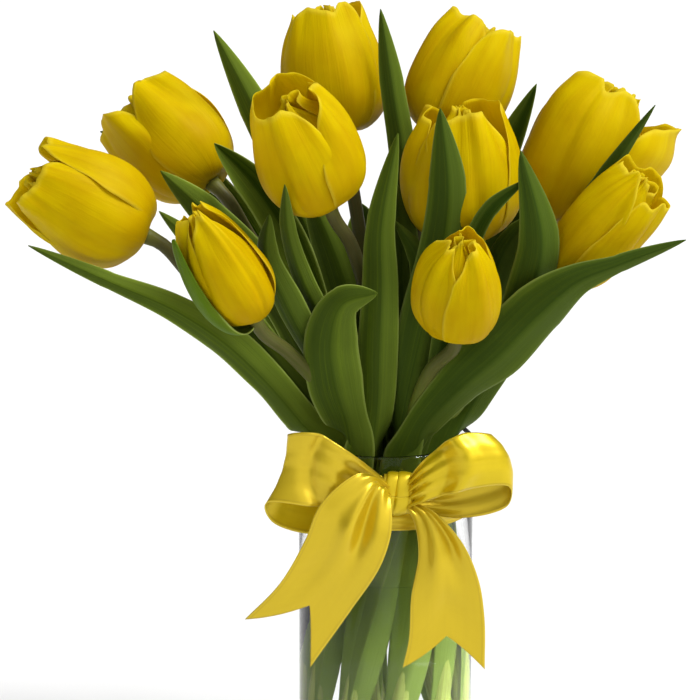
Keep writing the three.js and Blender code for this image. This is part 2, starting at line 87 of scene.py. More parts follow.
# Leaves: how far the edges fold back, and how a leaf clasps its stem below the neck, as share of
# the way up from its root, reach from the stem's axis and share of its half width. Only a
# deep-rooted leaf is held halfway up. The clasping part is fuller than the solid's.
CLASP_FOLD = 0.75
OPEN_FOLD = 0.35
ROOT = [0, 1.6, 0.4]
LOW_CLASP = [0.46, 6.6, 1]
CLASP = [0.97, 6.8, 1]
CLASP_FULLNESS = 1.22
DEEP_ROOT = 100
LEAF_COLUMNS = 18
LEAF_ROWS_A_SPAN = 11
LEAF_THICKNESS = 0.8
LEAF_SEED = 100

# Blooms: grid, thickness and half angles of the petals, the inset of the inner three, their
# widest place as share of the bloom's radius, and how much their lengths vary.
PETAL_COLUMNS = 44
PETAL_ROWS = 32
PETAL_THICKNESS = 0.55
OUTER_HALF_ANGLE = 76
INNER_HALF_ANGLE = 82
INNER_INSET = 3.3
PETAL_FULLNESS = 0.975
INNER_LENGTHS = (0.98, 1.02)
OUTER_LENGTHS = (0.94, 0.99)
CUP_RADIUS = 3.2

# Ribbon: flat width, thickness, and the gathered band's width, middle height and mean distance
# from the glass.
RIBBON_WIDTH = 38
RIBBON_THICKNESS = 0.45
BAND_WIDTH = 25
BAND_MIDDLE = 178.5
BAND_OFF_GLASS = 1.15
TAIL_NOTCH = 0.16

# One entry a tulip: where its stem passes the neck (turn in degrees, distance from the axis),
# the stem's course above it, the bloom's base and tip, its radius, its mouth, the turn of its
# petals, and what each petal has of its own: share of the length, and how far its tip opens.
TULIPS = [
    dict(
        neck=[-157.5, RING],
        course=[[-43, -16, 224], [-58, -19, 243], [-74, -22, 264], [-98, -24, 292]],
        base=[-119, -25, 311], tip=[-178, -32, 345],
        radius=27, mouth=17, turn=20,
        petals=[[1, 1], [0.96, 0], [0.98, 3], [0.95, 0], [0.96, 2], [0.93, 0]],
    ),
    dict(
        neck=[157.5, RING],
        course=[[-38, 10, 245], [-51, 10, 276], [-68, 11, 302]],
        base=[-87, 12, 330], tip=[-129, 36, 370],
        radius=25, mouth=19, turn=75,
        petals=[[1, 2], [0.95, 0], [0.97, 5], [0.96, 0], [0.99, 2], [0.94, 0]],
    ),
    dict(
        neck=[112.5, RING],
        course=[[-10, 26, 250], [-12, 29, 290], [-17, 34, 324]],
        base=[-22, 38, 351], tip=[-32, 44, 417],
        radius=26, mouth=17, turn=30,
        petals=[[1, 0], [0.96, 0], [0.98, 2], [0.95, 0], [1, 1], [0.96, 0]],
    ),
    dict(
        neck=[180, CORE],
        course=[[-8, -10, 250], [-11, -18, 283], [-18, -25, 307]],
        base=[-29, -42, 331], tip=[-51, -62, 389],
        radius=26, mouth=15, turn=0,
        petals=[[0.98, 1], [0.94, 0], [1, 4], [0.95, 0], [0.97, 2], [0.93, 0]],
    ),
    dict(
        neck=[-112.5, RING],
        course=[[-24, -30, 226], [-37, -38, 243], [-49, -48, 258]],
        base=[-65, -62, 279], tip=[-94, -80, 336],
        radius=20, mouth=8, turn=60,
        petals=[[1, 0], [0.94, 0], [0.95, 2], [0.96, 0], [0.98, 0], [0.93, 0]],
    ),
    dict(
        neck=[67.5, RING],
        course=[[11, 28, 250], [15, 29, 295], [19, 30, 328]],
        base=[26, 31, 351], tip=[53, 48, 407],
        radius=25, mouth=17, turn=90,
        petals=[[1, 3], [0.95, 0], [0.97, 2], [0.96, 0], [0.98, 2], [0.95, 0]],
    ),
    dict(
        neck=[0, CORE],
        course=[[20, -3, 245], [31, -6, 279]],
        base=[38, -8, 306], tip=[36, -12, 377],
        radius=30, mouth=17, turn=40,
        petals=[[1, 1], [0.95, 0], [0.96, 3], [0.94, 0], [0.98, 2], [0.95, 0]],
    ),
    dict(
        neck=[-67.5, RING],
        course=[[15, -32, 228], [22, -40, 247]],
        base=[33, -58, 271], tip=[35, -85, 324],
        radius=22, mouth=10, turn=85,
        petals=[[1, 1], [0.95, 0], [0.95, 2], [0.96, 0], [0.98, 1], [0.93, 0]],
    ),
    dict(
        neck=[22.5, RING],
        course=[[39, 14, 240], [55, 18, 276], [70, 18, 298]],
        base=[83, 18, 310], tip=[119, 29, 378],
        radius=28, mouth=20, turn=5,
        petals=[[0.93, 23], [0.95, 2], [0.97, 3], [0.96, 0], [1, 6], [0.97, 1]],
    ),
    dict(
        neck=[-22.5, RING],
        course=[[39, -14, 227], [54, -20, 249], [70, -26, 274]],
        base=[85, -30, 291], tip=[127, -42, 344],
        radius=18, mouth=13, turn=90,
        petals=[[1, 6], [0.95, 0], [1, 0], [0.96, 0], [0.95, 3], [0.95, 0]],
    ),
]

# One entry a leaf: its stem, the side of the stem that it clasps and the way its face looks (turns
# in degrees), the height of its root, its half width there, and its course above the neck with the
# half width at each point.
LEAVES = [
    dict(stem=1, side=-130, face=-105, root=42, clasp=10, course=[
        [-42.5, -26, 216, 9.5], [-60, -40, 241, 9], [-80, -46, 262, 9.5], [-104, -50, 279, 7],
        [-134, -52, 293, 4.5], [-174, -50, 311, 1],
    ]),
    dict(stem=1, side=-30, face=-95, root=50, clasp=7, course=[
        [-36, -20, 222, 7], [-55, -30, 248, 8], [-76, -36, 280, 7], [-94, -38, 308, 5],
        [-111, -40, 326, 1],
    ]),
    dict(stem=1, side=75, face=90, root=150, clasp=5.5, course=[
        [-27, -8, 228, 6], [-35, -17, 270, 8], [-48, -21, 308, 9], [-66, -18, 336, 8], [-85, -14, 355, 1],
    ]),
    dict(stem=2, side=-120, face=-95, root=145, clasp=5.5, course=[
        [-36, 0, 230, 8], [-50, -6, 266, 9], [-68, -11, 295, 10], [-88, -17, 319, 8], [-111, -24, 343, 1],
    ]),
    dict(stem=2, side=150, face=125, root=42, clasp=10, course=[
        [-40, 20, 236, 9], [-62, 30, 282, 10], [-86, 46, 316, 9], [-118, 64, 340, 7], [-148, 70, 347, 1],
    ]),
    dict(stem=2, side=60, face=115, root=150, clasp=5.5, course=[
        [-34, 28, 222, 8], [-54, 46, 254, 10], [-74, 60, 280, 8], [-94, 70, 296, 1],
    ]),
    dict(stem=3, side=-150, face=-90, root=145, clasp=5.5, course=[
        [-17, 20, 236, 7], [-32, 18, 284, 7], [-49, 14, 328, 8], [-64, 12, 364, 8], [-86, 14, 407, 1],
    ]),
    dict(stem=3, side=110, face=110, root=42, clasp=10, course=[
        [-19, 38, 235, 9], [-30, 50, 280, 11], [-42, 62, 318, 9], [-52, 72, 346, 1],
    ]),
    dict(stem=3, side=0, face=80, root=150, clasp=5.5, course=[
        [-8, 38, 226, 7], [-8, 53, 262, 10], [-10, 68, 292, 9], [-13, 88, 306, 1],
    ]),
    dict(stem=4, side=165, face=90, root=150, clasp=5.5, course=[
        [-19, 5, 232, 6], [-30, 9, 262, 8], [-46, 8, 294, 9], [-62, 6, 322, 7], [-79, 2, 342, 1],
    ]),
    dict(stem=4, side=-60, face=-90, root=50, clasp=7, course=[
        [-10, -8, 236, 9], [-17, -10, 270, 12], [-27, -11, 302, 10], [-41, -12, 334, 1],
    ]),
    dict(stem=4, side=-130, face=-100, root=160, clasp=5, course=[
        [-15, -17, 226, 6], [-27, -27, 258, 6], [-41, -44, 292, 5], [-48, -62, 320, 4],
        [-49, -78, 346, 1],
    ]),
    dict(stem=5, side=-55, face=-85, root=42, clasp=9, course=[
        [-5, -35, 226, 9], [-4, -36, 256, 10], [-3, -37, 288, 9], [-3, -37, 318, 7], [5, -38, 364, 1],
    ]),
    dict(stem=5, side=-150, face=-95, root=50, clasp=9, course=[
        [-20, -39, 218, 11], [-26, -46, 240, 14], [-28, -52, 264, 13], [-22, -59, 284, 8],
        [-5, -66, 291, 1],
    ]),
    dict(stem=5, side=110, face=-115, root=160, clasp=5, course=[
        [-21, -24, 226, 5], [-37, -34, 254, 7], [-49, -46, 280, 8], [-59, -55, 308, 6],
        [-57, -58, 328, 1],
    ]),
    dict(stem=6, side=-150, face=-90, root=145, clasp=5.5, course=[
        [5, 22, 242, 7], [8, 16, 292, 7], [9, 14, 336, 7], [3, 16, 378, 6], [-3, 20, 417, 1],
    ]),
    dict(stem=6, side=90, face=85, root=42, clasp=10, course=[
        [13, 41, 238, 9], [16, 52, 280, 11], [18, 64, 318, 9], [20, 78, 352, 1],
    ]),
    dict(stem=6, side=-20, face=45, root=150, clasp=5.5, course=[
        [23, 37, 230, 7], [32, 50, 268, 9], [43, 62, 300, 8], [54, 74, 332, 1],
    ]),
    dict(stem=7, side=-70, face=-80, root=150, clasp=5.5, course=[
        [13, -11, 234, 7], [18, -17, 266, 7], [16, -21, 298, 5], [4, -24, 318, 1],
    ]),
    dict(stem=7, side=165, face=-100, root=145, clasp=5.5, course=[
        [7, 0, 240, 9], [8, 0, 276, 10], [7, 0, 306, 8], [4, -1, 334, 1],
    ]),
    dict(stem=7, side=50, face=90, root=145, clasp=5.5, course=[
        [24, 12, 238, 7], [36, 20, 276, 8], [46, 25, 312, 8], [60, 23, 346, 7], [75, 16, 380, 1],
    ]),
    dict(stem=8, side=-150, face=-90, root=50, clasp=9, course=[
        [11, -31, 236, 10], [18, -33, 268, 12], [26, -38, 304, 11], [29, -45, 338, 9], [25, -50, 378, 1],
    ]),
    dict(stem=8, side=-60, face=-80, root=42, clasp=10, course=[
        [18, -38, 217, 9], [35, -44, 238, 12], [54, -51, 257, 15], [73, -58, 279, 14], [91, -64, 296, 8],
        [110, -68, 305, 4.5], [142, -71, 318, 1],
    ]),
    dict(stem=8, side=50, face=100, root=150, clasp=5.5, course=[
        [23, -27, 232, 6], [30, -31, 270, 7], [39, -38, 306, 5], [49, -44, 328, 4], [67, -46, 343, 1],
    ]),
    dict(stem=9, side=-60, face=-90, root=145, clasp=5.5, course=[
        [40, 5, 228, 7], [60, 8, 262, 6], [82, 5, 296, 5], [106, -14, 336, 4], [131, -20, 375, 1],
    ]),
    dict(stem=9, side=20, face=-50, root=42, clasp=9, course=[
        [42, 13, 214, 9], [58, 11, 236, 10], [75, 7, 256, 8], [94, 2, 278, 1],
    ]),
    dict(stem=9, side=110, face=60, root=60, clasp=7, course=[
        [40, 28, 235, 9], [56, 42, 276, 11], [72, 54, 310, 9], [88, 64, 340, 1],
    ]),
    dict(stem=10, side=150, face=-105, root=150, clasp=5.5, course=[
        [33, -7, 230, 7], [45, -11, 264, 8], [54, -19, 292, 8], [62, -27, 311, 5], [75, -34, 324, 1],
    ]),
    dict(stem=10, side=-30, face=-80, root=42, clasp=10, course=[
        [44, -14, 224, 9], [58, -26, 252, 10], [69, -45, 284, 11], [74, -53, 314, 10], [64, -47, 357, 1],
    ]),
]

# The leaf that cups a bloom: its turn and half angle, its tip as share of the bloom's length, how
# far it lies outside the petals, its foot over the bloom's base, and its tone.
CUPPING_LEAF = dict(tulip=5, turn=205, half_angle=38, share=0.86, outside=1.2, foot=-4.5, tone=0.44)

# The bow: the courses of the ribbon's two edges. A loop leaves the knot and comes back to it, and
# a tail hangs down from it.
LEFT_LOOP = [
    [
        [0, -54, 194], [-14, -64, 208], [-34, -70, 222], [-48, -64, 220.5], [-46, -55, 216],
        [-22, -50, 205], [2, -49, 193],
    ],
    [
        [0, -54, 178], [-14, -64, 181], [-36, -73, 186], [-59, -66, 186], [-56, -56, 173],
        [-33, -50, 165.5], [2, -49, 178],
    ],
]

RIGHT_LOOP = [
    [
        [10, -54, 194], [20, -62, 209], [35, -68, 221.5], [50, -63, 220], [49, -55, 216],
        [30, -50, 205], [8, -49, 193],
    ],
    [
        [10, -54, 180], [20, -62, 186], [38, -70, 194], [59, -66, 194.5], [58.5, -56, 181],
        [36, -50, 173.5], [8, -49, 178],
    ],
]

LEFT_TAIL = [
    [[0, -56, 194], [-13, -70, 202.5], [-32, -77, 189], [-40, -76, 170], [-52, -70, 147], [-70, -60, 125]],
    [[2, -56, 182], [2, -66, 190], [2, -76, 175], [-3, -76, 158], [-17, -68, 133], [-38, -60, 99]],
]

RIGHT_TAIL = [
    [[8, -54, 182], [13, -58, 175], [15.5, -60, 158], [12, -60, 136], [11, -58, 114], [8, -56, 98]],
    [[12, -54, 184], [24, -60, 179], [37, -63, 165], [45, -62, 146], [48.5, -59, 124], [49, -56, 96.5]],
]

# Folds in the tails: where they are as side and share of the length, how wide and how tall.
LEFT_FOLDS = [
    ((0.3, 0.48), (0.2, 0.22), 5.5),
    ((-0.08, 0.5), (0.2, 0.24), -4.0),
    ((-0.4, 0.78), (0.35, 0.12), 2.6),
]
RIGHT_FOLDS = [
    ((0.45, 0.45), (0.25, 0.2), 3.2),
    ((-0.2, 0.52), (0.3, 0.2), -2.8),
    ((0.1, 0.82), (0.5, 0.1), 2.2),
]

# The knot: its middle, half its width, how much flatter it is from front to back, and half its
# height.
KNOT = dict(at=[5, -51, 186.5], radius=8, depth=0.75, half=10.5)


# Curves and sheets.


def catmull(points, t):
    """Points at t, from 0 to 1 in equal steps a span, on the centripetal curve through points."""
    points = np.asarray(points, float)
    spans = len(points) - 1
    place = np.clip(np.asarray(t, float), 0, 1) * spans
    first = np.minimum(place.astype(int), spans - 1)
    w = (place - first)[:, None]
    ends = np.vstack([2 * points[0] - points[1], points, 2 * points[-1] - points[-2]])
    p0, p1, p2, p3 = (ends[first + k] for k in range(4))
    d0, d1, d2 = (
        np.sqrt(np.linalg.norm(b - a, axis=1))[:, None] for a, b in ((p0, p1), (p1, p2), (p2, p3))
    )
    d1 = np.where(d1 < 1e-4, 1.0, d1)
    d0 = np.where(d0 < 1e-4, d1, d0)
    d2 = np.where(d2 < 1e-4, d1, d2)
    m1 = ((p1 - p0) / d0 - (p2 - p0) / (d0 + d1) + (p2 - p1) / d1) * d1
    m2 = ((p2 - p1) / d1 - (p3 - p1) / (d1 + d2) + (p3 - p2) / d2) * d1
    square = -3 * p1 + 3 * p2 - 2 * m1 - m2
    cube = 2 * p1 - 2 * p2 + m1 + m2
    return p1 + m1 * w + square * w**2 + cube * w**3


def unit(v):
    return v / np.maximum(np.linalg.norm(v, axis=-1, keepdims=True), 1e-9)


def tangents(points, t):
    step = 1e-4
    return unit(catmull(points, np.minimum(t + step, 1)) - catmull(points, np.maximum(t - step, 0)))


def length_of(points):
    return float(np.linalg.norm(np.diff(points, axis=0), axis=1).sum())


def smooth(x, low, high):
    """0 below low, 1 above high, with an even turn between them."""
    s = np.clip((x - low) / (high - low), 0, 1)
    return s * s * (3 - 2 * s)


def bell(x, middle, wide):
    """1 at the middle, fading evenly to both sides of it."""
    return np.exp(-(((x - middle) / wide) ** 2))


def grid_normals(points):
    across = np.gradient(points, axis=1)
    along = np.gradient(points, axis=0)
    return unit(np.cross(across, along))


def grid(columns, rows, rise=1.0):
    """u across and v along, each as an array of rows by columns."""
    u, v = np.meshgrid(np.linspace(0, 1, columns + 1), np.linspace(0, 1, rows + 1) ** rise)
    return u, v


class Builder:
    """Collects meshes in millimetres, with what their material reads at each point."""

    def __init__(self):
        self.points, self.faces, self.facts, self.count = [], [], {}, 0

    def add(self, points, faces, **facts):
        points = np.asarray(points, float).reshape(-1, 3)
        self.points.append(points)
        self.faces += [tuple(int(i) + self.count for i in face) for face in faces]
        for key, values in facts.items():
            values = np.broadcast_to(np.asarray(values, float), (len(points),))
            self.facts.setdefault(key, []).append(values)
        self.count += len(points)

    def add_sheet(self, points, thickness, **facts):
        """A thin closed sheet about a grid of points, its two faces told apart by back."""
        rows, columns = points.shape[0] - 1, points.shape[1] - 1
        offset = grid_normals(points) * (np.broadcast_to(thickness, points.shape[:2]) / 2)[..., None]
        index = np.arange((rows + 1) * (columns + 1)).reshape(rows + 1, columns + 1)
        layer = index.size
        a, b, c, d = index[:-1, :-1], index[:-1, 1:], index[1:, 1:], index[1:, :-1]
        front = np.stack([a, b, c, d], axis=-1).reshape(-1, 4)
        back = front[:, ::-1] + layer
        rim = np.concatenate([index[0, :-1], index[:-1, -1], index[-1, :0:-1], index[:0:-1, 0]])
        after = np.roll(rim, -1)
        edge = np.stack([rim, rim + layer, after + layer, after], axis=-1)
        both = np.concatenate([(points + offset).reshape(-1, 3), (points - offset).reshape(-1, 3)])
        doubled = {
            key: np.tile(np.broadcast_to(values, points.shape[:2]).reshape(-1), 2)
            for key, values in facts.items()
        }
        sides = np.repeat([0.0, 1.0], layer)
        self.add(both, np.concatenate([front, back, edge]), back=sides, **doubled)

    def add_tube(self, points, **facts):
        """A closed tube from rings of points, one ring a row, with capped ends."""
        rows, sides = points.shape[0] - 1, points.shape[1]
        index = np.arange((rows + 1) * sides).reshape(rows + 1, sides)
        after = np.roll(index, -1, axis=1)
        walls = np.stack([index[:-1], after[:-1], after[1:], index[1:]], axis=-1).reshape(-1, 4)
        faces = [*walls.tolist(), index[0, ::-1].tolist(), index[-1].tolist()]
        flat = {k: np.broadcast_to(x, points.shape[:2]).reshape(-1) for k, x in facts.items()}
        self.add(points, faces, **flat)

    def piece(self, name, material, slot, nodes):
        mesh = bpy.data.meshes.new(name)
        points = np.concatenate(self.points) * MM
        mesh.from_pydata(points.tolist(), [], self.faces)
        for key, values in self.facts.items():
            layer = mesh.attributes.new(key, "FLOAT", "POINT")
            layer.data.foreach_set("value", np.concatenate(values))
        mesh.shade_smooth()
        mesh.materials.append(material)
        mesh.update()
        made = bpy.data.objects.new(name, mesh)
        bpy.context.collection.objects.link(made)
        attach(made, "root")
        if nodes:
            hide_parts(*nodes)
        return made


# Materials.


class Shader:
    """A material's node tree, written as calls that return sockets."""

    def __init__(self, name):
        self.material = bpy.data.materials.new(name)
        self.material.use_nodes = True
        self.tree = self.material.node_tree
        self.tree.nodes.clear()

    def node(self, kind, settings=None, **inputs):
        made = self.tree.nodes.new("ShaderNode" + kind)
        for key, value in (settings or {}).items():
            setattr(made, key, value)
        for key, value in inputs.items():
            self.put(made.inputs[key.replace("_", " ")], value)
        return made

    def put(self, socket, value):
        if isinstance(value, bpy.types.NodeSocket):
            self.tree.links.new(value, socket)
        elif isinstance(value, (tuple, list)) and len(value) == 3 and socket.type == "RGBA":
            socket.default_value = (*value, 1)
        else:
            socket.default_value = value

    def fact(self, name):
        return self.node("Attribute", {"attribute_name": name}).outputs["Fac"]

    def math(self, operation, a, b=0.0):
        made = self.node("Math", {"operation": operation})
        self.put(made.inputs[0], a)
        self.put(made.inputs[1], b)
        return made.outputs[0]

    def times(self, a, b):
        return self.math("MULTIPLY", a, b)

    def vector(self, x, y, z):
        return self.node("CombineXYZ", X=x, Y=y, Z=z).outputs[0]

    def place(self):
        return self.node("TexCoord").outputs["Object"]

    def noise(self, vector, scale, detail=2.0, roughness=0.5):
        made = self.node("TexNoise", Vector=vector, Scale=scale, Detail=detail, Roughness=roughness)
        return made.outputs["Fac"]

    def span(self, value, low, high, start=0.0, end=1.0):
        made = self.node(
            "MapRange", Value=value, From_Min=low, From_Max=high, To_Min=start, To_Max=end
        )
        return made.outputs["Result"]

    def off_middle(self, across):
        """0 along the middle of a sheet and 1 at its two edges."""
        doubled = self.times(across, 2.0)
        return self.math("ABSOLUTE", self.math("SUBTRACT", doubled, 1.0))

    def streaks(self, across, along, offset, counts, detail, roughness=0.5):
        """Noise that is drawn out lengthwise: counts says how often it turns across and along."""
        x = self.times(across, counts[0])
        y = self.times(along, counts[1])
        return self.noise(self.vector(x, y, offset), 1.0, detail, roughness)

    def mix(self, share, a, b):
        made = self.node("Mix", {"data_type": "RGBA"})
        for socket, value in ((made.inputs[0], share), (made.inputs[6], a), (made.inputs[7], b)):
            self.put(socket, value)
        return made.outputs[2]

    def tint(self, colour, value, low, high, most, other):
        """The colour, given up to most of the other one as value goes from low to high."""
        return self.mix(self.span(value, low, high, 0.0, most), colour, other)

    def ramp(self, value, stops):
        made = self.node("ValToRGB", Fac=value)
        elements = made.color_ramp.elements
        while len(elements) < len(stops):
            elements.new(0.5)
        for element, (position, colour) in zip(elements, stops):
            element.position = position
            element.color = (*colour, 1)
        return made.outputs["Color"]

    def bump(self, height, distance, strength=1.0):
        made = self.node("Bump", Height=height, Distance=distance, Strength=strength)
        return made.outputs["Normal"]

    def finish(self, shader, see_through=None, share=0.0, normal=None):
        """Ends the material, with a share of light let through where a colour for it is given."""
        out = self.node("OutputMaterial")
        last = shader.outputs[0]
        if see_through is not None:
            through = self.node("BsdfTranslucent", Color=see_through)
            if normal is not None:
                self.put(through.inputs["Normal"], normal)
            both = self.node("MixShader")
            self.put(both.inputs[0], share)
            self.put(both.inputs[1], last)
            self.put(both.inputs[2], through.outputs[0])
            last = both.outputs[0]
        self.put(out.inputs["Surface"], last)
        return self.material


def petal_skin():
    s = Shader("petal_skin")
    across, along, seed, back = (s.fact(k) for k in ("across", "along", "seed", "back"))
    offset = s.times(seed, 17.0)
    coarse = s.streaks(across, along, offset, (16.0, 1.6), 4.0, 0.55)
    fine = s.streaks(across, along, offset, (95.0, 3.5), 2.0)
    cloud = s.noise(s.place(), 45.0, 2.0)
    body = s.ramp(along, [
        (0.0, (0.42, 0.36, 0.03)), (0.07, (0.53, 0.37, 0.0)), (0.28, (0.62, 0.42, 0.0)),
        (0.75, (0.67, 0.49, 0.0)), (1.0, (0.74, 0.6, 0.0)),
    ])
    deep = s.tint(body, coarse, 0.38, 0.7, 0.6, (0.55, 0.34, 0.0))
    light = s.tint(deep, cloud, 0.42, 0.7, 0.5, (0.78, 0.64, 0.0))
    colour = s.tint(light, fine, 0.5, 0.8, 0.26, (0.56, 0.35, 0.0))
    side = s.off_middle(across)
    # The rim is painted paler and greener, partly the thin edge's own colour and partly painted light
    # showing through it.
    rim = s.math("MAXIMUM", s.span(side, 0.93, 1.0), s.span(along, 0.955, 1.0))
    pale_lit_rim = s.mix(s.times(rim, 0.55), colour, (0.82, 0.7, 0.05))
    # The inner face is paler: partly its own colour and partly painted light coming through the petal into
    # the cup.
    inner = s.mix(s.times(back, 0.75), pale_lit_rim, (0.8, 0.62, 0.0))
    height = s.math("ADD", coarse, s.times(fine, 0.35))
    normal = s.bump(height, 0.0005, 0.85)
    skin = s.node(
        "BsdfPrincipled", Base_Color=inner, Normal=normal,
        Roughness=s.span(fine, 0.3, 0.7, 0.44, 0.56), IOR=1.4, Specular_IOR_Level=0.14,
        Specular_Tint=(1.0, 0.85, 0.35),
    )
    return s.finish(skin, s.mix(0.6, inner, (0.92, 0.72, 0.0)), 0.4, normal)


def leaf_skin():
    s = Shader("leaf_skin")
    across, along, seed, back = (s.fact(k) for k in ("across", "along", "seed", "back"))
    tall = s.fact("tall")
    offset = s.times(seed, 23.0)
    vein = s.streaks(across, along, offset, (44.0, 2.2), 3.0, 0.6)
    broad = s.streaks(across, along, offset, (5.0, 2.0), 2.0)
    cloud = s.noise(s.place(), 30.0, 3.0)
    side = s.off_middle(across)
    body = s.ramp(tall, [
        (0.0, (0.44, 0.54, 0.1)), (0.25, (0.3, 0.45, 0.02)), (0.4, (0.15, 0.265, 0.003)),
        (0.55, (0.021, 0.044, 0.001)), (1.0, (0.019, 0.039, 0.001)),
    ])
    # The underside is paler. Then come patches, pale vein streaks that are partly veins and partly
    # painted sheen, bloom, pale rims that are partly the leaf's own and partly painted highlight, a
    # darker midrib that is partly painted shade in the fold, and one half of the blade painted lighter
    # as the lit side of the fold, and each leaf has a tone of its own.
    sided = s.mix(s.times(back, 0.6), body, (0.09, 0.132, 0.016))
    varied = s.tint(sided, broad, 0.5, 0.68, 0.5, (0.085, 0.132, 0.003))
    # Pale streaks along the veins: partly the veins' own colour and partly painted sheen.
    veins_and_sheen = s.tint(varied, vein, 0.5, 0.72, 0.5, (0.16, 0.235, 0.012))
    bloomed = s.tint(veins_and_sheen, cloud, 0.5, 0.8, 0.3, (0.03, 0.056, 0.001))
    # Pale rims and edges: partly the leaf's own paler margin and partly a painted highlight where the
    # curled edges catch the light.
    pale_lit_rim = s.tint(bloomed, side, 0.66, 0.97, 0.42, (0.25, 0.345, 0.035))
    pale_edge_and_highlight = s.tint(pale_lit_rim, side, 0.9, 1.0, 0.85, (0.42, 0.52, 0.12))
    # One half of the blade is painted lighter, standing in for the lit side of the leaf's fold.
    lit_half = s.tint(pale_edge_and_highlight, across, 0.5, 0.36, 0.38, (0.195, 0.27, 0.03))
    # A darker line along the midrib: partly the midrib and partly painted shade in the fold's crease.
    midrib_and_crease_shade = s.tint(lit_half, side, 0.05, 0.0, 0.35, (0.016, 0.034, 0.001))
    toned = s.tint(midrib_and_crease_shade, seed, 0.2, 0.8, 0.52, (0.02, 0.048, 0.008))
    # Lower down the leaves are painted paler: partly the pale leaf bases and partly painted light in the
    # shade inside the vase.
    colour = s.tint(toned, tall, 0.43, 0.24, 0.72, (0.37, 0.51, 0.1))
    normal = s.bump(s.math("ADD", vein, s.times(broad, 1.5)), 0.0003, 0.7)
    skin = s.node(
        "BsdfPrincipled", Base_Color=colour, Normal=normal,
        Roughness=s.span(vein, 0.3, 0.7, 0.4, 0.52), IOR=1.42, Specular_IOR_Level=0.05,
        Specular_Tint=(0.9, 1.0, 0.4),
    )
    return s.finish(skin, s.mix(0.6, colour, (0.13, 0.25, 0.005)), 0.14, normal)


def stem_skin():
    s = Shader("stem_skin")
    around, along, seed = (s.fact(k) for k in ("across", "along", "seed"))
    tall = s.fact("tall")
    offset = s.times(seed, 11.0)
    streak = s.streaks(around, along, offset, (14.0, 5.0), 3.0, 0.6)
    cloud = s.noise(s.place(), 60.0, 3.0)
    body = s.ramp(tall, [
        (0.0, (0.58, 0.64, 0.2)), (0.28, (0.46, 0.57, 0.1)), (0.46, (0.18, 0.27, 0.01)),
        (0.6, (0.068, 0.08, 0.014)), (0.8, (0.07, 0.066, 0.018)), (1.0, (0.085, 0.085, 0.02)),
    ])
    streaked = s.tint(body, streak, 0.4, 0.75, 0.45, (0.13, 0.085, 0.035))
    headed = s.tint(streaked, along, 0.97, 1.0, 0.6, (0.2, 0.22, 0.03))
    colour = s.tint(headed, cloud, 0.45, 0.75, 0.3, (0.11, 0.12, 0.03))
    normal = s.bump(streak, 0.00025, 0.6)
    skin = s.node(
        "BsdfPrincipled", Base_Color=colour, Normal=normal,
        Roughness=s.span(streak, 0.3, 0.7, 0.36, 0.5), IOR=1.45, Specular_IOR_Level=0.15,
    )
    return s.finish(skin)


def heart_skin():
    """The pistil's green where kind is 0 and the stamens' dusty tips where it is 1."""
    s = Shader("heart_skin")
    kind = s.fact("kind")
    grain = s.noise(s.place(), 900.0, 2.0)
    green = s.mix(s.span(grain, 0.4, 0.7, 0.0, 0.5), (0.4, 0.46, 0.12), (0.26, 0.34, 0.06))
    dust = s.mix(s.span(grain, 0.4, 0.7, 0.0, 0.6), (0.5, 0.34, 0.02), (0.22, 0.15, 0.02))
    skin = s.node(
        "BsdfPrincipled", Base_Color=s.mix(kind, green, dust), Normal=s.bump(grain, 0.0003),
        Roughness=s.span(grain, 0.3, 0.7, 0.6, 0.85),
    )
    return s.finish(skin)


def satin():
    """Satin with a sewn groove beside each edge, measured in millimetres across and along."""
    s = Shader("ribbon_satin")
    across, along, back = s.fact("across"), s.fact("along"), s.fact("back")
    width = s.times(across, RIBBON_WIDTH)
    inward = s.math("MINIMUM", width, s.math("SUBTRACT", RIBBON_WIDTH, width))
    slub = s.streaks(width, along, 0.0, (0.4, 0.05), 2.0)
    weft = s.streaks(width, along, 2.0, (0.1, 0.35), 2.0)
    body = s.mix(s.span(slub, 0.35, 0.7, 0.0, 0.4), (0.66, 0.485, 0.003), (0.6, 0.435, 0.002))
    woven = s.tint(body, weft, 0.4, 0.75, 0.25, (0.72, 0.55, 0.008))
    groove = s.times(s.span(inward, 0.9, 1.25), s.span(inward, 2.0, 1.6))
    lined = s.mix(s.times(groove, 0.45), woven, (0.4, 0.27, 0.01))
    edge = s.tint(lined, inward, 0.9, 0.2, 0.5, (0.8, 0.64, 0.06))
    inside = s.mix(s.times(back, 0.45), edge, (0.56, 0.39, 0.02))
    normal = s.bump(s.times(groove, -1.0), 0.00004, 0.4)
    skin = s.node(
        "BsdfPrincipled", Base_Color=inside, Normal=normal, Metallic=0.5, IOR=1.5,
        Roughness=s.span(weft, 0.3, 0.7, 0.29, 0.33), Specular_IOR_Level=0.5,
    )
    return s.finish(skin)


def clear(name, tint, ior, marks):
    """Glass or water that lets lamps through, with a faint unevenness on its surface."""
    s = Shader(name)
    uneven = s.noise(s.place(), marks, 2.0)
    dimmer = [part * 0.985 for part in tint]
    body = s.node(
        "BsdfPrincipled", Base_Color=s.mix(s.span(uneven, 0.3, 0.7), tint, dimmer),
        Roughness=0.0, IOR=ior, Transmission_Weight=1.0, Normal=s.bump(uneven, 0.0001, 0.25),
        Specular_Tint=(0.25, 0.26, 0.28),
    )
    through = s.node("BsdfTransparent", Color=(0.94, 0.96, 0.95))
    both = s.node("MixShader")
    s.put(both.inputs[0], s.node("LightPath").outputs["Is Shadow Ray"])
    s.put(both.inputs[1], body.outputs[0])
    s.put(both.inputs[2], through.outputs[0])
    s.put(s.node("OutputMaterial").inputs["Surface"], both.outputs[0])
    return s.material


# Stems.


def spiral(z):
    return -SPIRAL * (NECK - z) / (NECK - FOOT) if z < NECK else 0


def compass(turn):
    return np.array([math.cos(math.radians(turn)), math.sin(math.radians(turn)), 0])


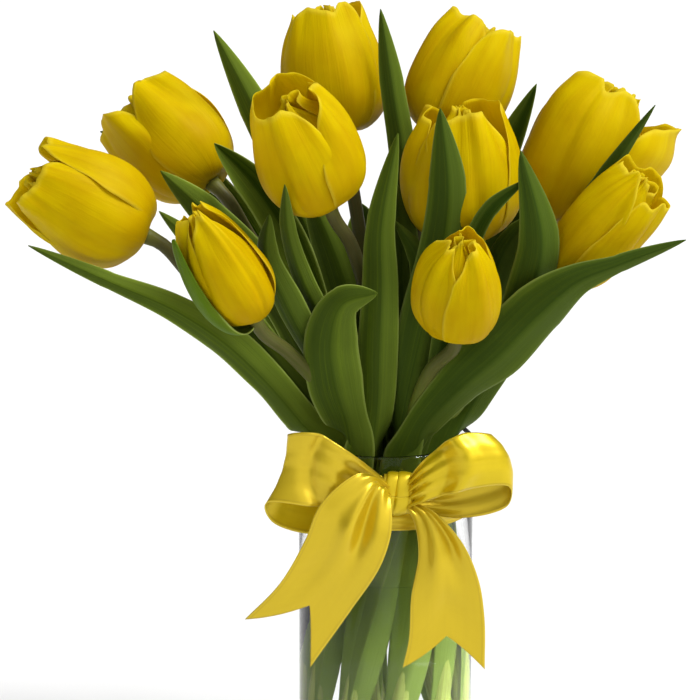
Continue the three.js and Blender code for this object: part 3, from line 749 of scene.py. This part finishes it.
def stem_below(tulip, z):
    turn, distance = tulip["neck"]
    return compass(turn + spiral(z)) * distance + np.array([0, 0, z])


def bloom_axis(tulip):
    return unit(np.subtract(tulip["tip"], tulip["base"]).astype(float))


def stem_points(tulip):
    axis = bloom_axis(tulip)
    head = np.array(tulip["base"], float) + axis * STEM_SUNK
    below = [stem_below(tulip, z) for z in LOWER_HEIGHTS]
    return [*below, *tulip["course"], head - STEM_LEAD * axis, head]


def make_stem(number, tulip, material):
    points = stem_points(tulip)
    dense = catmull(points, np.linspace(0, 1, 900))
    run = np.concatenate([[0], np.cumsum(np.linalg.norm(np.diff(dense, axis=0), axis=1))])
    share = np.linspace(0, 1, STEM_ROWS + 1)
    centre = np.stack([np.interp(share * run[-1], run, dense[:, k]) for k in range(3)], axis=1)
    ahead = unit(np.gradient(centre, axis=0))
    turn = [np.cross(ahead[0], [0.0, 1.0, 0.0])]
    for direction in ahead[1:]:
        turn.append(turn[-1] - direction * float(turn[-1] @ direction))
    first = unit(np.array(turn))
    second = np.cross(ahead, first)
    radius = STEM_FOOT_RADIUS + (STEM_HEAD_RADIUS - STEM_FOOT_RADIUS) * share
    radius = radius * (1 + 0.025 * np.sin(9 * share * math.pi + number) * np.sin(23 * share + number))
    radius = radius + STEM_FLARE * smooth(share, 0.975, 1.0)
    angle = np.linspace(0, 2 * math.pi, STEM_SIDES, endpoint=False)[:, None]
    ring = first[:, None] * np.cos(angle) + second[:, None] * np.sin(angle)
    wall = centre[:, None] + ring * radius[:, None, None]
    made = Builder()
    made.add_tube(
        wall,
        across=(0.5 + 0.5 * np.cos(angle)).T,
        along=share[:, None],
        tall=centre[:, 2:3] / TONED_HEIGHT,
        seed=number / 10,
    )
    return made.piece(f"stalk_{number}", material, "leaf", [f"stem_{number}"])


# Leaves.


def leaf_grid(leaf, draw):
    """The leaf's middle surface: a trough that clasps the stem, opening into a waved blade."""
    tulip = TULIPS[leaf["stem"] - 1]
    held = [[share, reach, part * leaf["clasp"]] for share, reach, part in (ROOT, LOW_CLASP, CLASP)]
    if leaf["root"] > DEEP_ROOT:
        del held[1]
    spine, faces, forms = [], [], []
    for share, reach, half in held:
        z = leaf["root"] + (NECK - leaf["root"]) * share
        outward = compass(leaf["side"] + spiral(z))
        spine.append(stem_below(tulip, z) + outward * reach)
        faces.append(outward)
        forms.append([half * (CLASP_FULLNESS if share else 1), CLASP_FOLD])
    for *point, half in leaf["course"]:
        spine.append(point)
        faces.append(compass(leaf["face"]))
        forms.append([half, OPEN_FOLD])
    spans = len(spine) - 1
    rows = spans * LEAF_ROWS_A_SPAN
    t = np.linspace(0, 1, rows + 1)
    centre = catmull(spine, t)
    ahead = tangents(spine, t)
    face = catmull(faces, t)
    half, fold = catmull(forms, t).T
    face = unit(face - ahead * (face * ahead).sum(axis=1, keepdims=True))
    across = np.cross(ahead, face)
    # The blade narrows slowly and then closes in a drawn-out point.
    last = np.clip(t * spans - (spans - 1), 0, 1)
    before = leaf["course"][-2][3]
    half = np.where(last > 0, before * np.clip(1 - last**1.35, 0, 1) ** 0.85 + 0.2, half)
    opened = smooth(t * spans, len(held) - 0.5, len(held) + 1.0)
    u, v = grid(LEAF_COLUMNS, rows)
    side = 2 * u - 1
    reach = side * half[:, None]
    edge = np.abs(side)
    trough = 0.8 * np.sqrt(edge**2 + 0.006) + 0.2 * edge**2 - 0.062
    depth = trough * (half * fold * (1 + 0.5 * opened))[:, None]
    phase, pace = draw.uniform(0, 6.3), draw.uniform(2.2, 3.4)
    run = (t * length_of(centre) / 40)[:, None]
    # The two edges wave on their own.
    left = np.sin(pace * run + phase)
    right = np.sin(pace * 1.13 * run + phase + 2.1)
    wave = 0.1 * np.where(side < 0, left, right) * edge**3 * (half * opened)[:, None]
    points = (
        centre[:, None]
        - across[:, None] * reach[..., None]
        - face[:, None] * (depth + wave)[..., None]
    )
    return points, u, v


def make_foliage(number, leaves, material, extra=()):
    made = Builder()
    for k, leaf in leaves:
        draw = random.Random(LEAF_SEED + k)
        points, u, v = leaf_grid(leaf, draw)
        edge = np.abs(2 * u - 1)
        thick = LEAF_THICKNESS * (1 - 0.6 * edge**3) * (1 - 0.5 * v**4)
        made.add_sheet(
            points, thick, across=u, along=v, seed=k / len(LEAVES),
            tall=points[..., 2] / TONED_HEIGHT,
        )
    for sheet in extra:
        made.add_sheet(**sheet)
    return made.piece(f"foliage_{number}", material, "leaf", [f"stem_{number}"])


# Blooms.


def bloom_place(tulip, points):
    """Points from the bloom's own frame, +Z along its axis, to where it stands."""
    axis = Vector(bloom_axis(tulip).tolist())
    tilt = np.array(Vector((0, 0, 1)).rotation_difference(axis).to_matrix())
    return points @ tilt.T + np.array(tulip["base"], float)


def bloom_length(tulip):
    return float(np.linalg.norm(np.subtract(tulip["tip"], tulip["base"])))


def profile(start, radius, mouth, length, foot, share):
    """Radius and height at share of the whorl's outline, from its foot to its mouth."""
    corners = [(start, foot), (1.3 * radius, foot - 2), (1.12 * radius, 0.62 * length), (mouth, length)]
    weights = [(1 - share) ** 3, 3 * (1 - share) ** 2 * share, 3 * (1 - share) * share**2, share**3]
    return (sum(w * corner[k] for w, corner in zip(weights, corners)) for k in (0, 1))


def torn_rim(side, v, inner, squared, lean, phases):
    """Each point's share of the petal's length: the rim is broad, lopsided and ragged."""
    drop = (0.12 if inner else 0.24) * np.abs(side) ** (3.0 + 2.2 * squared) + 0.04 * lean * side
    ragged = (0.014 + 0.01 * squared) * np.sin(5.2 * side + phases[0])
    ragged = ragged + 0.009 * np.sin(10 * side + phases[1]) + 0.0025 * np.sin(24 * side + phases[2])
    # A blunt peak to one side of the middle, and a notch to the other.
    ragged = ragged + (0.012 + 0.026 * squared) * bell(side, 0.4 * lean, 0.2)
    ragged = ragged - (0.008 + 0.02 * squared) * bell(side, -0.25 * lean, 0.13)
    torn = (0.6 if inner else 1.0) * smooth(v, 0.6, 1)
    return np.clip(v * (1 - drop + ragged * torn), 0, 1.02)


def petal_folds(side, v, share, lean, phases, draw):
    """How far the crease, swellings, folds and waved rim stand out from the smooth petal."""
    full = smooth(share, 0.08, 0.4)
    high = smooth(share, 0.55, 1.0)
    middle = 0.06 * lean + 0.05 * np.sin(3 * v + phases[3])
    crease = draw.uniform(0.2, 1.3) * bell(side, middle, 0.06) * full
    shoulder = draw.uniform(0.3, 1.0) * bell(np.abs(side), 0.3, 0.16) * full
    swell = draw.uniform(0.6, 1.7) * np.sin(3.2 * side + phases[4] + 2.4 * v) * full
    dented = draw.uniform(0.5, 1.1) * np.sin(7.5 * v + 2.6 * side + phases[4]) * full
    fold = draw.uniform(0.7, 1.7) * np.sin(9 * side + phases[5] + 1.5 * v) * smooth(share, 0.35, 0.9)
    waved = draw.uniform(0.8, 1.9) * np.sin(5.0 * side + phases[6]) * high**2
    frill = 0.3 * np.sin(17 * side + phases[7]) * high**4
    curl = draw.uniform(-1.5, 1.5) * smooth(share, 0.84, 1.0) * (1 + 0.6 * side * lean)
    return shoulder - crease + swell + dented + fold + waved + frill + curl


def petal_grid(tulip, index, draw):
    """One petal: broad and cupped, creased along its middle, with a waved and ragged rim."""
    inner = index % 2
    own, open_by = tulip["petals"][index]
    inset = INNER_INSET if inner else 0
    length = bloom_length(tulip) * own * draw.uniform(*(INNER_LENGTHS if inner else OUTER_LENGTHS))
    lean = draw.uniform(-1, 1)
    phases = [draw.uniform(0, 6.3) for _ in range(8)]
    # An open bloom has squarer petals, and a closed one draws its mouth in further.
    gape = tulip["mouth"] / tulip["radius"]
    u, v = grid(PETAL_COLUMNS, PETAL_ROWS, 0.85)
    side = 2 * u - 1
    share = torn_rim(side, v, inner, smooth(gape, 0.52, 0.72), lean, phases)
    mouth = 0.95 * tulip["mouth"] * (0.62 + 0.38 * smooth(gape, 0.4, 0.62)) - (1.9 if inner else 0)
    widest = PETAL_FULLNESS * tulip["radius"] - inset
    reach, height = profile(CUP_RADIUS, widest, mouth, length, 1.2 + 0.5 * inset, share)
    reach = reach + open_by * (share**2 - 0.3 * smooth(share, 0.78, 1.0))
    if inner:
        # The tops of the inner petals bend in over the heart.
        bent = smooth(share, 0.7, 1.0) ** 1.4 * (1 - 0.5 * smooth(gape, 0.55, 0.8))
        reach = reach * (1 - 0.92 * bent)
        height = height - 0.01 * length * bent
    half = INNER_HALF_ANGLE if inner else OUTER_HALF_ANGLE
    turn = tulip["turn"] + 60 * index + draw.uniform(-5, 5)
    angle = np.radians(turn + side * half * (1 - 0.1 * smooth(v, 0.7, 1)))
    # The edges tuck in. One side lies over the next petal and the other one under it.
    full = smooth(share, 0.08, 0.4)
    tuck = (0.03 + 0.03 * smooth(share, 0.55, 1.0)) * np.abs(side) ** 3 * reach
    reach = reach - (tuck + 1.25 * side) * full + petal_folds(side, v, share, lean, phases, draw)
    foot = 1.6 * bell(side, 0, 0.5) * smooth(share, 0.02, 0.12) * (1 - smooth(share, 0.12, 0.4))
    points = np.stack([reach * np.cos(angle), reach * np.sin(angle), height - foot], axis=-1)
    return bloom_place(tulip, points), u, v


def make_bloom(number, tulip, material):
    made = Builder()
    draw = random.Random(number)
    for index in range(6):
        points, u, v = petal_grid(tulip, index, draw)
        edge = np.abs(2 * u - 1)
        thick = PETAL_THICKNESS * (1 - 0.45 * edge**2) * (1 - 0.4 * v**3)
        made.add_sheet(points, thick, across=u, along=v, seed=draw.random())
    return made.piece(f"petals_{number}", material, "petal", [f"bloom_{number}"])


def lathe(outline, sides, lobes=0.0):
    """Rings of points from an outline of radius and height, with three lobes where it is stout."""
    angle = np.linspace(0, 2 * math.pi, sides, endpoint=False)
    rings = []
    for radius, z in outline:
        r = radius * (1 + lobes * np.cos(3 * angle)) if radius > 1.5 else np.full(sides, radius)
        rings.append(np.stack([r * np.cos(angle), r * np.sin(angle), np.full(sides, float(z))], axis=1))
    return np.array(rings)


def make_hearts(material):
    """The pistil and six stamens inside each bloom, sized for a bloom of 27 mm radius."""
    made = Builder()
    pistil = [(0.4, 0), (2.2, 1), (2.6, 6), (2.2, 14), (1.7, 18), (2.4, 20.5), (3.1, 22)]
    pistil += [(2.7, 23), (0.5, 23.2)]
    stamen = [(0.7, 0), (0.6, 9), (1.0, 10), (1.5, 12), (1.4, 20), (0.9, 23), (0.2, 24)]
    for tulip in TULIPS:
        size = tulip["radius"] / 27
        points = lathe(pistil, 24, 0.22) * size + np.array([0, 0, 3.0])
        made.add_tube(bloom_place(tulip, points), kind=0.0)
        for k in range(6):
            lean = compass(60 * k + tulip["turn"] + 30)
            rod = lathe(stamen, 10) * size * np.array([0.8, 0.8, 0.85])
            rod = rod + lean * (4.2 * size + rod[..., 2:3] * 0.13) + np.array([0, 0, 2.6])
            kind = smooth(rod[..., 2], 2.6 + 8 * size, 2.6 + 9 * size)
            made.add_tube(bloom_place(tulip, rod), kind=kind)
    return made.piece("hearts", material, "leaf", [])


def cupping_leaf():
    """The short leaf that cups one bloom from below, as the facts of its sheet."""
    cup = CUPPING_LEAF
    tulip = TULIPS[cup["tulip"] - 1]
    radius = PETAL_FULLNESS * tulip["radius"] + cup["outside"]
    tip = bloom_length(tulip) * cup["share"]
    u, v = grid(16, 40)
    side = 2 * u - 1
    share = v * (1 - 0.6 * np.abs(side) ** 2.5)
    reach, height = profile(STEM_HEAD_RADIUS / 2, radius, 0.72 * radius, tip, cup["foot"], share)
    reach = reach - 0.5 * bell(side, 0, 0.1) * smooth(v, 0.05, 0.3)
    angle = np.radians(cup["turn"] + side * cup["half_angle"])
    points = np.stack([reach * np.cos(angle), reach * np.sin(angle), height], axis=-1)
    return dict(
        points=bloom_place(tulip, points), thickness=0.7, across=u, along=v, seed=0.4, tall=cup["tone"]
    )


# Vase and water.


def turned(outline):
    """A closed turned solid from an outline of radius and height, with a flat cap at each end."""
    angle = np.linspace(0, 2 * math.pi, ROUND_SIDES, endpoint=False)
    rings = [[r * math.cos(a), r * math.sin(a), z] for r, z in outline for a in angle]
    faces = []
    for row in range(len(outline) - 1):
        for k in range(ROUND_SIDES):
            a, b = row * ROUND_SIDES + k, row * ROUND_SIDES + (k + 1) % ROUND_SIDES
            faces.append((a, b, b + ROUND_SIDES, a + ROUND_SIDES))
    last = (len(outline) - 1) * ROUND_SIDES
    faces.append(tuple(range(ROUND_SIDES - 1, -1, -1)))
    faces.append(tuple(last + k for k in range(ROUND_SIDES)))
    return rings, faces


def rounded(corner, radius, start, end, steps=6):
    """Points of a quarter round about a centre, from one angle to another in degrees."""
    turn = np.radians(np.linspace(start, end, steps + 1))
    return [(corner[0] + radius * math.cos(a), corner[1] + radius * math.sin(a)) for a in turn]


def make_vase(material):
    inside = VASE_RADIUS - VASE_WALL
    lip = VASE_WALL / 2
    outline = [(CAP_RADIUS, HOLLOW_DEPTH), (HOLLOW_EDGE[0], HOLLOW_DEPTH), (HOLLOW_EDGE[1], 0)]
    outline += rounded((VASE_RADIUS - FOOT_ROUND, FOOT_ROUND), FOOT_ROUND, -90, 0)
    outline += [(VASE_RADIUS, z) for z in (60, 130)]
    outline += rounded((VASE_RADIUS - lip, VASE_HEIGHT - lip), lip, 0, 180, 10)
    outline += [(inside, z) for z in (130, 60)]
    outline += rounded((inside - INNER_ROUND, VASE_BASE + INNER_ROUND), INNER_ROUND, 0, -90)
    outline += [(CAP_RADIUS, VASE_BASE + 0.3)]
    made = Builder()
    made.add(*turned(outline))
    return made.piece("glass_vase", material, "glass", ["vase"])


def make_water(material):
    wall = VASE_RADIUS - VASE_WALL + WATER_LAP
    floor_round = (wall - INNER_ROUND, VASE_BASE + INNER_ROUND + WATER_LAP)
    outline = [(CAP_RADIUS, VASE_BASE + 0.31), *rounded(floor_round, INNER_ROUND, -90, 0), (wall, 70)]
    outline += [(wall - away, WATER_LEVEL + rise) for away, rise in MENISCUS]
    outline += [(CAP_RADIUS, WATER_LEVEL)]
    made = Builder()
    made.add(*turned(outline))
    return made.piece("vase_water", material, "water", ["water"])


# Ribbon.


def mean_length(edges):
    return sum(length_of(catmull(edge, np.linspace(0, 1, 200))) for edge in edges) / 2


def strip(edges, u, v, notch, lift):
    """A strip ruled between two edge curves, raised along its normal by lift."""
    share = v * (1 - notch * (1 - np.abs(2 * u - 1)))
    left, right = (catmull(edge, share.reshape(-1)).reshape(*share.shape, 3) for edge in edges)
    points = left + (right - left) * u[..., None]
    return points + grid_normals(points) * lift[..., None]


def ribbon_piece(name, points, u, v, length, material):
    made = Builder()
    made.add_sheet(points, RIBBON_THICKNESS, across=u, along=v * length)
    piece = made.piece(name, material, "satin", ["ribbon"])
    return piece


def pleats(side, count, depth, phase):
    """Gathers that run along the strip."""
    return depth * np.cos(math.pi * count * side + phase)


def make_loop(name, edges, bulge, phase, material):
    u, v = grid(28, 110)
    side = 2 * u - 1
    gather = pleats(side, 4, 1.9, phase) * (np.exp(-v / 0.13) + np.exp(-(1 - v) / 0.13))
    bulged = bulge * (1 - side**2) * np.sin(math.pi * v)
    # A soft fold bends across the front of the loop, with a hollow between it and the knot.
    bent = v - 0.06 * (1 - side**2)
    arched = 3.2 * bell(bent, 0.3, 0.035) - 2.4 * bell(bent, 0.2, 0.045)
    points = strip(edges, u, v, 0, gather + bulged + arched)
    return ribbon_piece(
        name, points, u, v, mean_length(edges), material
    )


def make_tail(name, edges, depth, phase, folds, material):
    length = mean_length(edges)
    u, v = grid(36, 90)
    side = 2 * u - 1
    lift = pleats(side, 2.2, depth, phase) * bell(v, 0, 0.42)
    lift = lift + 1.1 * np.sin(5.2 * v + 1.3 * side + phase) * smooth(v, 0.15, 0.6)
    for at, wide, tall in folds:
        lift = lift + tall * bell(side, at[0], wide[0]) * bell(v, at[1], wide[1])
    points = strip(edges, u, v, TAIL_NOTCH, lift)
    return ribbon_piece(name, points, u, v, length, material)


def make_band(material):
    """The ribbon drawn round the vase, gathered into soft level folds."""
    u, v = grid(30, 160)
    angle = 2 * math.pi * v - math.pi / 2
    middle = VASE_RADIUS + BAND_OFF_GLASS
    fold = 0.72 * np.sin(2 * math.pi * (3.5 * u + 0.6 * np.sin(angle)))
    radius = middle + fold + 0.2 * np.sin(3 * angle + 9 * u)
    height = BAND_MIDDLE + BAND_WIDTH * (u - 0.5) + 0.5 * np.sin(2 * angle)
    points = np.stack([radius * np.cos(angle), radius * np.sin(angle), height], axis=-1)
    length = 2 * math.pi * middle
    return ribbon_piece("ribbon_band", points, u, v, length, material)


def make_knot(material):
    """The turn of ribbon over the middle of the bow, in three knife pleats."""
    x0, y0, z0 = KNOT["at"]
    deep, half = KNOT["radius"] * KNOT["depth"], KNOT["half"]
    wide = 2 * KNOT["radius"]
    u, v = grid(48, 72)
    turn = 2 * math.pi * v
    x = wide * (u - 0.5) + 2.4 * np.sin(2 * math.pi * 3 * u) * (0.85 + 0.15 * np.cos(turn))
    lift = 0.9 * np.cos(2 * math.pi * 3 * u + 0.6) - 1.6 * np.abs(2 * u - 1) ** 3
    skew = 1.6 * np.sin(turn)
    y = y0 - (deep + lift) * np.cos(turn)
    z = z0 + (half + 0.7 * lift) * np.sin(turn)
    points = np.stack([x0 + x + skew, y, z], axis=-1)
    length = math.pi * (deep + half)
    return ribbon_piece("ribbon_knot", points, u, v, length, material)


# The object.

glass = clear("vase_glass", (0.985, 0.99, 0.99), 1.5, 18.0)
water = clear("vase_water_body", (0.97, 0.985, 0.975), 1.333, 9.0)
petal, leafy, stalky, heart, ribbon = petal_skin(), leaf_skin(), stem_skin(), heart_skin(), satin()

make_vase(glass)
make_water(water)
make_knot(ribbon)
make_band(ribbon)
make_loop("ribbon_loop_left", LEFT_LOOP, 3.0, 0.0, ribbon)
make_loop("ribbon_loop_right", RIGHT_LOOP, 4.5, 1.0, ribbon)
make_tail("ribbon_tail_left", LEFT_TAIL, 1.2, 0.4, LEFT_FOLDS, ribbon)
make_tail("ribbon_tail_right", RIGHT_TAIL, 0.8, 2.0, RIGHT_FOLDS, ribbon)

for number, tulip in enumerate(TULIPS, 1):
    make_stem(number, tulip, stalky)
    mine = [(k, leaf) for k, leaf in enumerate(LEAVES) if leaf["stem"] == number]
    make_foliage(number, mine, leafy, [cupping_leaf()] if number == CUPPING_LEAF["tulip"] else [])
    make_bloom(number, tulip, petal)
make_hearts(heart)


# Camera, floor and light.


def linked(name, data):
    made = bpy.data.objects.new(name, data)
    bpy.context.collection.objects.link(made)
    return made


CAMERA_AT = (-0.0182, -1.5, 0.605)
LOOKS_DOWN = 13.42
camera = linked("camera", bpy.data.cameras.new("camera"))
camera.data.sensor_width = 36
camera.data.lens = 157.15
camera.location = CAMERA_AT
camera.rotation_euler = (math.radians(90 - LOOKS_DOWN), 0, 0)
bpy.context.scene.camera = camera

FLOOR_HALF = 14
FLOOR_LEVEL = -0.0005
floor = linked("floor", bpy.data.meshes.new("floor"))
corners = [(x * FLOOR_HALF, y * FLOOR_HALF, FLOOR_LEVEL) for x, y in ((-1, -1), (1, -1), (1, 1), (-1, 1))]
floor.data.from_pydata(corners, [], [(0, 1, 2, 3)])
plain = Shader("pale_floor")
paint = plain.node("BsdfPrincipled", Base_Color=(0.78, 0.78, 0.78), Roughness=0.9)
floor.data.materials.append(plain.finish(paint))

SUN_FROM = (0.55, -0.16, 0.82)
sun = linked("sun", bpy.data.lights.new("sun", "SUN"))
sun.data.energy = 3.4
sun.data.angle = math.radians(24)
sun.rotation_euler = Vector(SUN_FROM).to_track_quat("Z", "Y").to_euler()

# The studio is brightest above the camera and darkest low down behind the bunch.
BRIGHT_SIDE = (0.38, -0.64, 0.67)
SKY_LEVELS = [(0.0, 0.16), (0.55, 0.42), (0.92, 1.0)]
SKY_STRENGTH = 1.1
world = bpy.data.worlds.new("studio")
world.use_nodes = True
bpy.context.scene.world = world
tree = world.node_tree
direction = tree.nodes.new("ShaderNodeTexCoord")
facing = tree.nodes.new("ShaderNodeVectorMath")
facing.operation = "DOT_PRODUCT"
facing.inputs[1].default_value = BRIGHT_SIDE
sky = tree.nodes.new("ShaderNodeValToRGB")
backdrop = tree.nodes["Background"]
tree.links.new(direction.outputs["Generated"], facing.inputs[0])
tree.links.new(facing.outputs["Value"], sky.inputs[0])
tree.links.new(sky.outputs[0], backdrop.inputs["Color"])
sky.color_ramp.elements.new(SKY_LEVELS[1][0])
for element, (position, level) in zip(sky.color_ramp.elements, SKY_LEVELS):
    element.position = position
    element.color = (level, level, level, 1)
backdrop.inputs["Strength"].default_value = SKY_STRENGTH

bpy.context.scene.view_settings.view_transform = "Standard"
